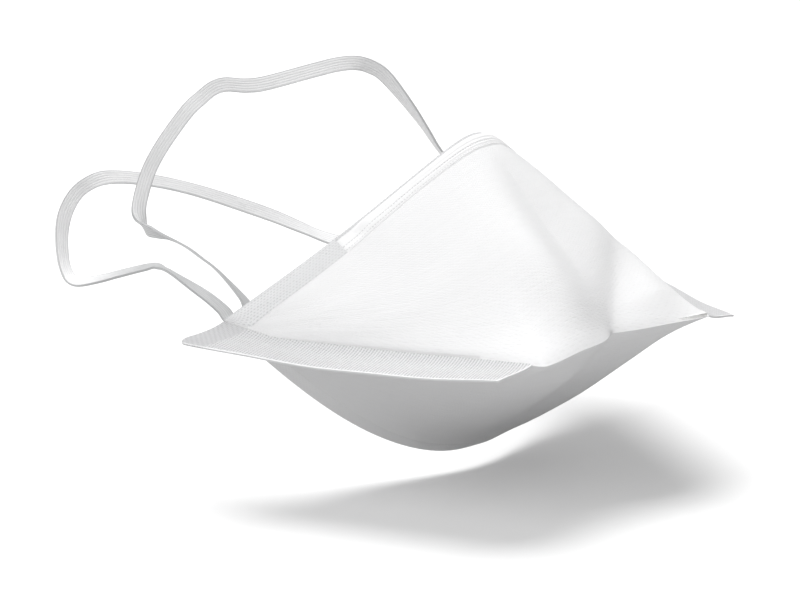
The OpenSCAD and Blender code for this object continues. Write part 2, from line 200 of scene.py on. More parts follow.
# %% The front edge and its dent
fold_dent = 8
fold_drop = 1
seam_droop = 2.7
dent_u = 0.015
dent_reach = (0.1, 0.135)


def dent(u):
    """Share of the fold's dent: a short step on the right side and a longer one on the left."""
    from_line = u - dent_u
    return np.exp(-(from_line / np.where(from_line < 0, *dent_reach)) ** 2)


def front(u, r):
    """Side seam, fold and side seam, with the corners between them rounded by r."""
    t = ramp(u, r) / ramp(1, r)
    g = dent(u)
    x = ear[0] * spread_x(u, r) / spread_x(1, r)
    y = ear[1] * t + fold_dent * g
    z = -fold_drop * g - seam_droop * np.sin(np.pi * t)
    return np.stack([x, y, z], -1)


def depth_at(u, upper):
    """Distance from the rear edge to the front one."""
    return np.linalg.norm(front(u, 0) - rear_edge(u, upper), axis=-1)


# %% [markdown]
# Opened cloth isn't a plain cone. Its panels bulge, the dented fold sends a crease up towards the
# nose with a soft edge on either side, and the stiff seams and the nose strip push up small
# swells. Each of these is a short function of u and v, so that it can be tuned on its own. Its
# depths and heights are in millimetres, and a name that ends in _u or _reach is a share of u.

# %% How a panel bulges
upper_crown = 5
lower_crown = 5.5
upper_falloff = 1.4
lower_falloff = 1.6
valley_depth = 2
valley_reach = fold_u * 0.6
crown_power = 0.5
crown_gain = 0.35
crown_u = -0.12
crown_reach = 0.3


def crown(u, v, height, falloff):
    """The bulge, fullest nearer the fold on the right side, less a shallow valley in the middle."""
    p = crown_power + crown_gain * smooth_step((u - crown_u) / crown_reach)
    peak = (p / (1 + p)) ** p / (1 + p)
    swell = height * v * np.maximum(0, 1 - v) ** p / peak * (1 - np.abs(u) ** falloff)
    return swell - valley_depth * np.exp(-(u / valley_reach) ** 2) * np.sin(np.pi * v)


# %% The crease that the dented fold makes
# It leans to the left as it runs up the panel, and it starts at these shares of the way forward.
crease_depth = 7.6
crease_lean = 0.72
upper_start = 0.5
lower_start = 0.75
near_reach = 0.2
near_reach_end = 0.07
far_reach = 0.13
blunt_end = 0.012
blunt_gain = 0.14
dent_share = 0.8
pillow_height = 2.5
pillow_u = 0.16
pillow_reach = 0.1


def crease(u, v, upper):
    """How far the cloth goes back along the crease, and how far up in the pillow beside it."""
    lean = np.where(upper, crease_lean, 0.0) * (1 - v)
    from_line = u - lean - dent_u * v ** 12
    start = np.where(upper, upper_start, lower_start)
    grow = smooth_step((v - start) / (1 - start))
    blunt = blunt_end + blunt_gain * (1 - v) * upper
    near = near_reach - (near_reach - near_reach_end) * v ** 30
    reach = np.where(from_line < 0, near, far_reach)
    sharp = np.exp(-(np.sqrt(from_line ** 2 + blunt ** 2) - blunt) / reach) - dent_share * dent(u)
    pillow = np.exp(-((from_line - pillow_u) / pillow_reach) ** 2)
    pillow = pillow * grow * np.minimum(1, 12 * (1 - v)) * upper
    return crease_depth * sharp * grow, pillow_height * pillow


# %% The soft edges beside the crease
brow_height = 3.2
brow_reach = 0.17
roll_height = 3.4
roll_u = -0.14
roll_reach = 0.11
roll_peak = 0.082


def brow(u, v, upper):
    """Height of two soft edges from the fold's ends to the nose, and of the roll between them."""
    from_edge = np.abs(u) - fold_u * (0.25 + 0.75 * v)
    edges = np.where(upper, brow_height, 0.0) * np.exp(-(from_edge / brow_reach) ** 2)
    edges = edges * np.sin(np.pi * np.clip(v, 0, 1))
    roll = np.where(upper, roll_height, 0.0) * np.exp(-((u - roll_u) / roll_reach) ** 2)
    return edges + roll * v ** 4 * (1 - v) / roll_peak


# %% The swells beside the flanges
shoulder_fold = 2.2
shoulder_ear = 1.8
shoulder_reach = 0.13
shoulder_left = 0.3


def shoulder(u):
    """How far the cloth bulges out over the flange's root, near its two ends."""
    share = np.where(u < 0, 1.0, shoulder_left)
    u = np.abs(u)
    at_fold = np.exp(-((u - 0.28) / shoulder_reach) ** 2) * smooth_step((u / fold_u - 0.4) / 0.6)
    at_ear = np.exp(-((u - 0.9) / shoulder_reach) ** 2) * np.minimum(1, 9 * (1 - u))
    return (shoulder_fold * at_fold + shoulder_ear * at_ear) * share


def root_sag(out):
    """Depth of the flange's curved root under its straight slope."""
    return math.tan(flange_flare) * out * (1 - out / flange_w) ** 2


# %% The swell beside the nose strip
strip_swell = 0.8
strip_u = 0.42
strip_fade = 0.16
arch_start = 5.1
arch_run = 2.3
swell_end = 9
swell_fade = 30


def strip_side(u, v, upper):
    """Height of the cloth that is drawn down from the nose strip."""
    from_edge = v * depth_at(u, upper)
    bulge = smooth_step((from_edge - arch_start) / arch_run)
    bulge = bulge * (1 - smooth_step((from_edge - swell_end) / swell_fade))
    return strip_swell * bulge * (1 - smooth_step((np.abs(u) - strip_u) / strip_fade)) * upper


# %% The surface of a panel, and its normal
corner_soft = 0.25
normal_step = 0.004


def panel(u, v, upper):
    """Points of the outer surface. upper is an array of True and False, or one of them."""
    u, v, upper = np.broadcast_arrays(np.asarray(u, float), np.asarray(v, float), upper)
    at_fold = (v ** 9)[..., None]
    edge = front(u, 0) * at_fold + front(u, corner_soft) * (1 - at_fold)
    rear = rear_edge(u, upper)
    bulge_up = crown(u, v, upper_crown, upper_falloff)
    bulge_down = crown(u, v, lower_crown, lower_falloff)
    points = rear * (1 - v[..., None]) + edge * v[..., None]
    back, rise = crease(u, v, upper)
    points[..., 1] += back
    points[..., 2] += np.where(upper, bulge_up, -bulge_down) + brow(u, v, upper) + rise
    out = (shoulder(u) * np.where(upper, v ** 4, v ** 8))[..., None]
    bulge = flange_out * out - flange_normal * root_sag(out)
    return points + bulge * np.stack([np.sign(u), np.ones_like(u), np.ones_like(u)], -1)


def outward(u, v, upper):
    """The direction straight out of the cloth."""
    u, v, upper = np.broadcast_arrays(np.asarray(u, float), np.asarray(v, float), upper)
    left = np.minimum(u + normal_step, 1 - normal_step)
    right = np.maximum(u - normal_step, normal_step - 1)
    ahead = np.minimum(v + normal_step, 1)
    behind = np.maximum(v - normal_step, 0)
    along = panel(left, v, upper) - panel(right, v, upper)
    across = panel(u, ahead, upper) - panel(u, behind, upper)
    return unit(np.cross(along, across)) * np.where(upper, -1, 1)[..., None]


print("front of the fold, mm:", (panel(0, 1, True) - seal).round(2))

# %% [markdown]
# ## Sheets
#
# Every piece of cloth here is a sheet. Blender's grid primitive is the flat cloth: its points are
# moved to the opened shape, its UV map keeps the flat position in millimetres, so that a woven or
# pressed pattern runs with the cloth, and a Solidify modifier gives the thickness.

# %% Make a sheet from a grid
smooth_angle = math.radians(50)


def deselect_all():
    bpy.ops.object.select_all(action="DESELECT")


def sheet(name, columns, rows, place, flat, thickness, offset=-1):
    """A sheet of columns by rows faces. place and flat turn grid positions into points and UVs."""
    deselect_all()
    bpy.ops.mesh.primitive_grid_add(x_subdivisions=columns, y_subdivisions=rows, size=2)
    piece = bpy.context.object
    piece.name = name
    mesh = piece.data
    grid = np.zeros(len(mesh.vertices) * 3)
    mesh.vertices.foreach_get("co", grid)
    s, t = grid.reshape(-1, 3)[:, :2].round(6).T
    corner = np.zeros(len(mesh.loops), int)
    mesh.loops.foreach_get("vertex_index", corner)
    mesh.uv_layers[0].data.foreach_set("uv", flat(s, t)[corner].ravel())
    mesh.vertices.foreach_set("co", (place(s, t) * MM).ravel())
    mesh.update()
    solid = piece.modifiers.new("thickness", "SOLIDIFY")
    solid.thickness = thickness * MM
    solid.offset = offset
    solid.use_even_offset = False
    # The new grid is the only selected object and the active one.
    bpy.ops.object.modifier_apply(modifier=solid.name)
    bpy.ops.object.shade_smooth_by_angle(angle=smooth_angle)
    print(name, "faces:", len(piece.data.polygons))
    return piece


# %% [markdown]
# ## The webs
#
# Five webs lie one inside the other: a spunbond cover, a fluffy support web, two fine filter webs
# and a lining. Each is one sheet folded round the front of the pouch. The cloth also has the
# gentle unevenness of thin webs that were folded flat and then opened.

# %% Where a point of a web lies
long_swell = 0.16
short_swell = 0.07
lower_phase = 2.1


def panel_place(s, t):
    """Turns a grid position into u, v and panel. t runs from the lower rear edge to the upper one."""
    return s, 1 - np.abs(t), t > 0


def cloth_waves(u, v, upper):
    """Small swells of opened cloth, and its drop from the nose strip, in millimetres."""
    u, v, upper = np.broadcast_arrays(u, v, upper)
    side = np.where(upper, 0.0, lower_phase)
    long_wave = np.sin(9 * u + 2.2 * v + side) * np.cos(5.5 * v - 2 * u + side)
    short_wave = np.sin(21 * u * (1 - 0.3 * v) + 6 * v + side) * np.sin(13 * v + 3 * u)
    fade = np.minimum(1, 6 * v) * np.minimum(1, 8 * (1 - v)) * np.minimum(1, 6 * (1 - np.abs(u)))
    return (long_swell * long_wave + short_swell * short_wave) * fade + strip_side(u, v, upper)


def web(name, depth, thickness, columns, rows, end):
    """A folded web. It ends at the share end of the way from the middle to the side seams."""
    def place(s, t):
        u, v, upper = panel_place(s * end, t)
        lift = cloth_waves(u, v, upper) - depth
        return panel(u, v, upper) + outward(u, v, upper) * lift[:, None] - seal

    def flat(s, t):
        half = rear_half * np.abs(t) + fold_half * (1 - np.abs(t))
        return np.stack([s * end * half, t * panel_depth], -1)

    return sheet(name, columns, rows, place, flat, thickness)


# %% Make the webs
cover = web("outer_cover_cloth", 0, cover_t, columns=200, rows=190, end=0.992)
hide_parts("outer_cover")
webs = [cover]
depth = cover_t + web_gap
for node, thickness in web_thickness.items():
    piece = web(node + "_cloth", depth, thickness, columns=100, rows=80, end=0.9)
    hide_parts(node)
    depth += thickness + web_gap
    webs.append(piece)
for piece in webs:
    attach(piece, "mask_body")

# %% [markdown]
# ## The side flanges
#
# Outside each seam line the webs of both panels are welded into one stiff strip. It bends up a
# little, and a roller has pressed a diagonal hatch into it. The strip is a sheet too. Its outer
# edge waves slightly, as a pressed edge does.

# %% Where a point of a flange lies
# A bulge of the cloth hides part of the flange, once it is over free_bulge.
corner_r = 3.5
end_trim = 0.03
free_bulge = 0.9
ripple_height = 0.18
pressed_t = flange_t * 0.65
root_step = flange_t * 0.4
root_gap = 0.02


def round_corner(p, q, r):
    """p and q are distances from two edges: the square corner between them becomes a round one."""
    a, b = np.maximum(r - p, 0), np.maximum(r - q, 0)
    pull = np.where((a > 0) & (b > 0), np.maximum(a, b) / np.maximum(np.hypot(a, b), 1e-6), 1)
    return np.where(a > 0, r - a * pull, p), np.where(b > 0, r - b * pull, q)


def flange_flat(s, t, mirror):
    """Along the seam from the fold, out to the ear, and outwards from the seam, in mm."""
    u = mirror * (fold_u + (1 - fold_u) * (1 + mirror * s) / 2)
    hidden = np.maximum(0, shoulder(u) - free_bulge)
    from_end = seam_length * (1 - mirror * s) / 2
    from_edge = (flange_w - hidden) * (1 - t) / 2
    from_end, from_edge = round_corner(from_end, from_edge, corner_r)
    return seam_length - from_end, flange_w - from_edge


# %% Make the flanges
def flange(name, mirror):
    def place(s, t):
        run, out = flange_flat(s, t, mirror)
        share = out / flange_w
        along = run / seam_length
        along = along + end_trim * (1 - share) * (1 - along)
        base = front(fold_u + (1 - fold_u) * along, 0)
        ripple = ripple_height * np.sin(17 * along + 1) * share ** 2
        sag = root_sag(out) + root_step * (1 - share) ** 6
        points = base + flange_out * (out + root_gap)[:, None] + seam_dir * (out * end_slope)[:, None]
        points = points + flange_normal * (ripple - sag)[:, None] - seal
        return points * [mirror, 1, 1]

    def flat(s, t):
        run, out = flange_flat(s, t, mirror)
        return np.stack([run + out * end_slope, out], -1)

    return sheet(name, 260, 40, place, flat, pressed_t, offset=0)


for name, mirror, node in (("left_flange", 1, "left_side_seam"),
                           ("right_flange", -1, "right_side_seam")):
    piece = flange(name, mirror)
    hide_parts(node)
    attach(piece, "mask_body")

# %% [markdown]
# ## The edge bindings
#
# A narrow strip is folded over each rear edge and pressed with fine dots, which hold all the
# webs together. Its section runs from the inner leaf round the edge to the outer leaf, which
# lies closest to the cover at its free edge.

# %% A point over the cover
def on_cover(u, v, upper, height, past_edge=0.0):
    """height is over the cover's surface; past_edge is how far outside the rear edge."""
    height, past_edge = np.broadcast_arrays(height, past_edge)
    level = height + cloth_waves(u, v, upper)
    inward = unit(panel(u, 0.05, upper) - panel(u, 0, upper))
    points = panel(u, v, upper) + outward(u, v, upper) * level[..., None]
    return points - inward * past_edge[..., None] - seal


def binding_v(u, upper):
    """How far the binding reaches over the panel."""
    return np.minimum(0.9, binding_w / depth_at(u, np.full(u.shape, upper)))


# %% Make the bindings
leaf_gap = 0.06
leaf_end = 0.05
inner_level = -stack_t - binding_gap
outer_level = leaf_gap + binding_t
leaf_t = binding_t * 0.6
fold_share = 0.06
fold_out = 0.45
binding_end = 0.995


def leaf_level(f):
    """Height of the outer leaf over the cover, which it meets at its free edge."""
    return outer_level - (outer_level - leaf_end) * f


def binding(name, upper):
    side = -1 if upper else 1

    def place(s, t):
        u = side * s * binding_end
        pinch = 0.2 + 0.8 * smooth_step((1 - np.abs(s)) * 14)
        f = np.clip((np.abs(t) - fold_share) / (1 - fold_share), 0, 1)
        turn = np.clip(t / fold_share, -1, 1) * math.pi / 2
        middle = (outer_level + inner_level) / 2
        height = middle + (outer_level - middle) * np.sin(turn)
        height = height - np.where(t > 0, outer_level - leaf_level(f), 0)
        past_edge = fold_out * np.cos(turn) * (f == 0)
        return on_cover(u, binding_v(u, upper) * f, upper, height * pinch, past_edge)

    def flat(s, t):
        return np.stack([side * s * rear_half, t * binding_w], -1)

    return sheet(name, 260, 44, place, flat, leaf_t)


for name, upper in (("upper_edge_binding", True), ("lower_edge_binding", False)):
    piece = binding(name + "_strip", upper)
    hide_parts(name)
    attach(piece, "mask_body")

# %% [markdown]
# ## The nose strip
#
# A flat plastic strip with two steel wires is bent to the nose and stays bent. It lies under a
# tape that is welded down on both sides of it, so the tape arches over the strip. The strip and
# its wires are CAD pieces, and the tape is a sheet.

# %% The arch and the ridges of the tape
tape_half = 57
tape_t = 0.2
tape_side = (0.04, 1.0)
sheath_t = 0.6
sheath_half = 46
sheath_fade = 6
sheath_gap = 0.15
wire_top = binding_gap + binding_t + sheath_gap + sheath_t
ridge_pitch = 1.3
ridge_height = 0.07
ridge_reach = 0.2


def tape_arch(f, u):
    """Height of the tape's underside over the binding, arched where the wire runs."""
    from_middle = np.abs(f - 0.5) * binding_w
    arch = 1 - smooth_step((from_middle + binding_w / 2 - arch_start) / arch_run)
    arch = arch * (wire_top - outer_level)
    return arch * (1 - smooth_step((np.abs(u) * rear_half - sheath_half) / sheath_fade))


def tape_ridges(f, u):
    """Fine folds where the tape is drawn round the nose."""
    ridges = np.sin(f * binding_w * 2 * math.pi / ridge_pitch)
    return ridge_height * ridges * np.exp(-(u / ridge_reach) ** 2) * smooth_step((f - 0.2) * 4)


def tape_share(t):
    """Share of the way across the binding, from the rear edge inwards."""
    return tape_side[0] + (tape_side[1] - tape_side[0]) * (1 - t) / 2


# %% Make the tape
tape_lift = 0.03
tape_leaf = tape_t * 0.6


def place_tape(s, t):
    u, f = s * tape_half / rear_half, tape_share(t)
    edge = smooth_step((1 - np.abs(t)) * 5) * smooth_step((1 - np.abs(s)) * 60)
    height = leaf_level(f) + tape_lift + tape_leaf * edge + tape_arch(f, u) + tape_ridges(f, u)
    return on_cover(u, binding_v(u, True) * f, True, height)


def flat_tape(s, t):
    return np.stack([s * tape_half, binding_w * tape_share(t)], -1)


tape = sheet("nose_tape_strip", 300, 56, place_tape, flat_tape, tape_leaf)
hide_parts("nose_strip_tape")
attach(tape, "mask_body")

# %% [markdown]
# ## The headbands
#
# Each band is one flat elastic from the weld inside one ear, out behind the rear edge, round in
# a loose arch and back to the other ear. A real one twists as it likes, so its route is a list
# of given points, each with a direction across the band. The strap is a sheet swept along the
# route.

# %% Where the ends of the bands lie
# a is a band's distance from the ear along the rear edge, and depth is how far it is under the
# outside of the cover. A weld sinks the strap's own end a little deeper.
band_w = 4.5
band_t = 0.7
weld_t = 0.4
weld_l = 5
band_space = 2
corner_k = float(np.linalg.norm(front(1.0, 0) - front(fold_u, 0))) / (1 - fold_u) / rear_half
ear_sine = float(np.linalg.norm(np.cross(unit(nose - ear), -seam_dir)))
weld_span = band_w / ear_sine
lower_a = 1.6
upper_a = lower_a + weld_span + band_space
lower_depth = cover_t + 0.25
upper_depth = stack_t + binding_gap + binding_t + 0.6
lower_sink = lower_depth + 1.5
upper_sink = upper_depth + 0.7
bend_clear = binding_gap + binding_t + band_t / 2 + 0.3
bend_drop = 0.4


def corner_point(a, b, depth):
    """A point in the left ear: a along the rear edge, b along the side seam, both from the ear."""
    v = b / (b + corner_k * a)
    u = 1 - a / (1 - v) / rear_half
    return panel(u, v, True) - outward(u, v, True) * depth - seal


def bend_at(a, depth):
    """Where a band leaves the ear and bends back, just behind the rear edge."""
    rear = rim(1 - a / rear_half, nose, nose_round, upper_sag)[1] + bend_clear - seal[1]
    level = corner_point(a, 0.5, depth + weld_t / 2)[2] - bend_drop
    return np.array([ear[0] * (1 - (a + weld_span / 2) / rear_half), rear, level])


print("bends, mm:", bend_at(upper_a, upper_depth).round(2), bend_at(lower_a, lower_depth).round(2))

# %% The routes of the bands
# Each point: x as a share of the root's x, y and z from the bend line, then a direction across.
upper_route = [
    [-1.00, 0, 0, [1, 0.2, 0]], [-1.00, 4, 3.2, [0.8, 0.6, -0.1]], [-1.005, 14, 9, [0.66, 0.7, -0.28]],
    [-1.01, 22, 12, [0.66, 0.7, -0.3]], [-0.995, 31, 13.8, [0.66, 0.7, -0.3]],
    [-0.965, 43, 14.4, [0.66, 0.6, -0.4]], [-0.94, 50.5, 14, [0.5, 0.4, -0.7]],
    [-0.93, 55, 13.8, [0.35, -0.1, -0.9]], [-0.92, 58, 14.8, [0.4, -0.4, -0.8]],
    [-0.90, 61, 18.5, [0.5, -0.6, -0.6]], [-0.86, 62.3, 23.5, [0.6, -0.7, -0.35]],
    [-0.81, 62.3, 30, [0.7, -0.7, -0.1]], [-0.76, 60.3, 36.5, [0.65, -0.7, -0.25]],
    [-0.69, 57.6, 43.5, [0.5, -0.65, -0.45]], [-0.63, 55.3, 48.7, [0.4, -0.6, -0.6]],
    [-0.57, 54.2, 51.5, [0.3, -0.5, -0.75]], [-0.51, 53, 54, [0.15, -0.4, -0.9]],
    [-0.43, 52.9, 54.4, [0, -0.5, -1]], [-0.30, 53.2, 52.6, [0, -0.55, -1]],
    [-0.17, 53.2, 52, [0, -0.55, -1]], [0.09, 50.4, 53.6, [0, -0.55, -1]],
    [0.23, 48.5, 54.4, [0, -0.5, -1]], [0.34, 47.6, 53.8, [0, -0.3, -1]],
    [0.43, 46.8, 51.6, [0, 0.3, -0.95]], [0.51, 46.3, 47.8, [0.15, 0.5, -0.85]],
    [0.65, 46.3, 37.5, [0.25, 0.78, -0.55]], [0.76, 46.6, 28.6, [0.42, 0.78, -0.42]],
    [0.86, 46.4, 19.6, [0.52, 0.75, -0.38]], [0.93, 40, 11, [0.5, 0.7, -0.45]],
    [0.99, 27, 6, [0.8, 0.4, -0.2]], [1.00, 12, 3.5, [1, 0, 0]], [1.00, 0, 0, [1, 0, 0]]]
lower_route = [
    [-1.00, 0, 0, [1, 0, 0]], [-1.00, 3, 2, [1, 0, 0]], [-1.01, 7, 4.3, [1, 0.1, 0]],
    [-1.02, 12, 6.4, [0.95, 0.25, 0]], [-1.025, 24, 9.7, [0.75, 0.6, -0.2]],
    [-1.025, 30, 10.4, [0.75, 0.6, -0.2]], [-1.025, 36, 9.8, [0.8, 0.5, 0.1]],
    [-1.02, 50, 5.2, [0.88, 0.4, 0.25]], [-1.01, 62, 1, [0.9, 0.35, 0.3]],
    [-1.00, 73, -2.3, [0.9, 0.3, 0.3]], [-0.99, 79, -2.7, [0.95, 0.2, 0.1]],
    [-0.98, 82.6, -1, [0.95, 0, -0.25]], [-0.96, 86, 2.6, [0.85, -0.1, -0.45]],
    [-0.92, 89.7, 9, [0.8, -0.2, -0.5]], [-0.88, 91.2, 14.5, [0.7, -0.4, -0.55]],
    [-0.83, 91.2, 19.2, [0.6, -0.45, -0.7]], [-0.77, 91, 22, [0.35, -0.3, -0.85]],
    [-0.67, 91.2, 23.3, [0.1, -0.6, -1]], [-0.55, 92.2, 22.1, [0.05, -0.8, -1]],
    [-0.40, 94.2, 19.2, [0.05, -0.8, -1]], [-0.20, 96.8, 14.5, [0.05, -0.8, -1]],
    [0, 97.7, 9, [0.05, -0.7, -1]], [0.20, 96, 2.7, [0.05, -0.6, -1]],
    [0.36, 92.9, -2.7, [0.05, -0.7, -1]], [0.48, 89.3, -7.4, [0, -0.9, -0.9]],
    [0.60, 85, -12, [-0.2, -0.9, -0.7]], [0.76, 75, -16, [-0.4, -0.6, -0.7]],
    [0.90, 58, -15, [-0.1, -0.2, -0.9]], [0.99, 37, -9, [0.5, 0, -0.6]],
    [1.01, 16, -3, [1, 0, 0]], [1.00, 4, -0.6, [1, 0, 0]], [1.00, 0, 0, [1, 0, 0]]]


# %% A smooth path through points
def smooth_path(points, steps):
    """Catmull-Rom curve through all the points."""
    points = np.array(points, float)
    before = np.vstack([points[:1], points[:-1]])[:-1]
    after = np.vstack([points[1:], points[-1:]])[1:]
    start, end = points[:-1], points[1:]
    t = np.linspace(0, 1, steps, endpoint=False)[None, :, None]
    start, end, before, after = (p[:, None] for p in (start, end, before, after))
    path = (2 * start + (end - before) * t + (2 * before - 5 * start + 4 * end - after) * t ** 2
            + (3 * start - before - 3 * end + after) * t ** 3) / 2
    return np.vstack([path.reshape(-1, points.shape[1]), points[-1:]])


# %% Sweep a strap along a route
def strap(name, route, a, depth, sink):
    """A band whose ends are welded sink deep in the ears. Also returns the left bend."""
    bend = bend_at(a, depth)
    welded = [corner_point(a + weld_span / 2, b, sink) for b in (weld_l, weld_l / 2, 0.5)]
    edge = unit(corner_point(a + weld_span, 0.5, depth) - corner_point(a, 0.5, depth))
    flip = np.array([-1, 1, 1])
    free = [bend * [x, 1, 1] + [0, y, z] for x, y, z, _ in route]
    points = [w * flip for w in welded] + free + welded[::-1]
    level = [[1, 0, 0]]
    across = [edge * flip] * 2 + level + [d for _, _, _, d in route] + level + [-edge] * 2
    path = smooth_path(points, 10)
    sides = smooth_path(across, 10)
    run = unit(np.gradient(path, axis=0))
    sides = unit(sides - run * (sides * run).sum(-1, keepdims=True))
    length = np.r_[0, np.cumsum(np.linalg.norm(np.diff(path, axis=0), axis=1))]
    last = len(path) - 1

    def ring(s):
        return np.rint((s + 1) / 2 * last).astype(int)

    def place(s, t):
        return path[ring(s)] + sides[ring(s)] * (t * band_w / 2)[:, None]

    def flat(s, t):
        return np.stack([length[ring(s)], t * band_w / 2], -1)

    piece = sheet(name, last, 8, place, flat, band_t, offset=0)
    print(name, "length, mm:", length[-1].round(1))
    return piece, bend


# %% Make the headbands
# In metres, along y: distances before and after a band's bend.
blend_before = 0.0012
blend_after = 0.005
for part, route, a, depth, sink in (("upper", upper_route, upper_a, upper_depth, upper_sink),
                                    ("lower", lower_route, lower_a, lower_depth, lower_sink)):
    piece, bend = strap(part + "_band_strap", route, a, depth, sink)
    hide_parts(part + "_headband", part + "_band_left_end", part + "_band_right_end")
    behind = bend[1] * MM
    part + "_headband"
    behind - blend_before
    behind + blend_after
    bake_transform(piece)

# %% [markdown]
# ## Shader maths as expressions
#
# A pressed or woven pattern is a height that a Bump node turns into light and shade. The heights
# are sums and products of waves, so a small class lets a socket stand in a Python expression,
# and each operator adds one Math node.

# %% A socket that can be calculated with
class Signal:
    """An output socket in a node tree, that can be used in an expression."""

    def __init__(self, tree, socket=None):
        self.tree = tree
        self.socket = socket

    def node(self, kind, settings, values, output=0):
        """Adds any node: its type, then its settings, then the values or links of its sockets."""
        made = self.tree.nodes.new(kind)
        for name, value in settings.items():
            setattr(made, name, value)
        for key, value in values.items():
            if isinstance(value, Signal):
                self.tree.links.new(value.socket, made.inputs[key])
            else:
                made.inputs[key].default_value = value
        return Signal(self.tree, made.outputs[output])

    def math(self, operation, *values):
        return self.node("ShaderNodeMath", {"operation": operation}, dict(enumerate((self,) + values)))

    def __add__(self, other):
        return self.math("ADD", other)

    def __sub__(self, other):
        return self.math("SUBTRACT", other)

    def __rsub__(self, other):
        return self.node("ShaderNodeMath", {"operation": "SUBTRACT"}, {0: other, 1: self})

    def __mul__(self, other):
        return self.math("MULTIPLY", other)

    def __truediv__(self, other):
        return self.math("DIVIDE", other)

    def __pow__(self, other):
        return self.math("POWER", other)

    __radd__ = __add__
    __rmul__ = __mul__

    def between(self, low, high):
        """0 below low and 1 above high, smooth between them."""
        return self.node("ShaderNodeMapRange", {"interpolation_type": "SMOOTHSTEP"},
                         {"Value": self, "From Min": low, "From Max": high})


# %% [markdown]
# Every finish starts from a Principled shader with its roughness and gloss. The patterns follow
# the cloth, so they read its flat position from the UV map, which is in millimetres.

# %% A new material and the position in the cloth
def new_material(name, roughness, specular):
    material = bpy.data.materials.new(name)
    material.use_nodes = True
    shader = material.node_tree.nodes["Principled BSDF"]
    shader.inputs["Roughness"].default_value = roughness
    shader.inputs["Specular IOR Level"].default_value = specular
    return material, Signal(material.node_tree), shader


def cloth_position(start):
    """The flat position in the cloth, in millimetres: x along its edge and y across."""
    uv = start.node("ShaderNodeUVMap", {}, {})
    x = start.node("ShaderNodeSeparateXYZ", {}, {0: uv})
    return x, Signal(x.tree, x.socket.node.outputs[1])


def as_vector(x, y):
    return x.node("ShaderNodeCombineXYZ", {}, {0: x, 1: y})


# %% Noise and fibres
def noise(vector, scale, detail=2.0):
    return vector.node("ShaderNodeTexNoise", {}, {"Vector": vector, "Scale": scale, "Detail": detail})


def turned(x, y, degrees):
    c, s = math.cos(math.radians(degrees)), math.sin(math.radians(degrees))
    return x * c + y * s, y * c - x * s


def fibres(x, y, degrees, length, width):
    """Fine filaments at one angle: noise stretched along them and cut to thin ridges."""
    along, across = turned(x, y, degrees)
    value = noise(as_vector(along / length, across / width), 1.0, detail=1.0)
    return 1 - ((value - 0.5) * 9).math("ABSOLUTE").math("MINIMUM", 1.0)


def felt(x, y, *layers):
    """Layers of fibres laid over one another. Each is given by its angle, length and width."""
    laid = [fibres(x, y, *layer) for layer in layers]
    return sum(laid[1:], laid[0])


# %% Pressed dots
press_pitch = (1.25, 0.85)
press_radius = (0.5, 0.24)


def dots(x, y, pitch, radius):
    """1 in each oval dot of a staggered grid, 0 between them. pitch and radius are along x and y."""
    shift = (y / pitch[1]).math("FLOOR").math("MODULO", 2.0) * 0.5
    dx = ((x / pitch[0] + shift).math("FRACT") - 0.5) * (pitch[0] / radius[0])
    dy = ((y / pitch[1]).math("FRACT") - 0.5) * (pitch[1] / radius[1])
    return 1 - (dx * dx + dy * dy).math("SQRT").between(0.6, 1.0)


def press_dots(x, y):
    """The dot pattern of the binding, broken up a little as a worn roller does."""
    worn = noise(as_vector(x, y), 0.9).between(0.2, 0.6) * 0.6 + 0.4
    return dots(x, y, press_pitch, press_radius) * worn


# %% Colour and bump
def shade(shader, height, depth, dark, light, mask):
    """Feeds a colour between dark and light, and the bump of a height in mm, into the shader."""
    paint = {0: mask, 6: dark + (1,), 7: light + (1,)}
    colour = mask.node("ShaderNodeMix", {"data_type": "RGBA"}, paint, 2)
    bump = height.node("ShaderNodeBump", {}, {"Strength": 1.0, "Distance": depth * MM, "Height": height})
    mask.tree.links.new(colour.socket, shader.inputs["Base Color"])
    mask.tree.links.new(bump.socket, shader.inputs["Normal"])


# %% [markdown]
# ## Finishes of the cloth
#
# Spunbond is a felt of endless filaments, held by a grid of tiny welded dots. Its filaments lie
# at all angles, mostly lengthwise. The finish adds stretched noise in a few directions, the
# dots, and a faint cloudiness where the web is thinner. Near the side seams, and most towards
# the ears, the cloth is painted greyer as shade.

# %% Spunbond
bond_pitch = (1.1, 0.55)
bond_radius = (0.26, 0.15)
web_felt = ((4, 9, 0.4), (-12, 7, 0.4), (40, 4, 0.35), (-60, 4, 0.35))
seam_sine = 0.78
seam_shade_width = 18.0


def spunbond(name, light, dark, dot_depth, fibre_depth):
    material, start, shader = new_material(name, roughness=0.85, specular=0.2)
    x, y = cloth_position(start)
    fine = felt(x, y, *web_felt)
    bonds = dots(x, y, bond_pitch, bond_radius)
    cloud = noise(as_vector(x * 0.5, y), 0.4, detail=3.0)
    streak = noise(as_vector(x * 0.06, y), 1.1)
    height = fine * fibre_depth + cloud * 0.6 + streak * 0.35 - bonds * dot_depth
    side = x.math("ABSOLUTE")
    from_seam = (y.math("ABSOLUTE") * end_slope + fold_half - side) * seam_sine
    # Painted shade: the cloth is greyer near the side seams, and more so towards the ears.
    pressed = (1 - from_seam.between(0.0, seam_shade_width)) * (side * 0.006 + 0.1)
    mask = (fine * 0.12 + cloud * 0.5 + streak * 0.5 - bonds * 0.2).between(0.15, 0.85)
    shade(shader, height, 0.1, dark=dark, light=light, mask=mask * 0.25 + 0.75 - pressed)
    return material


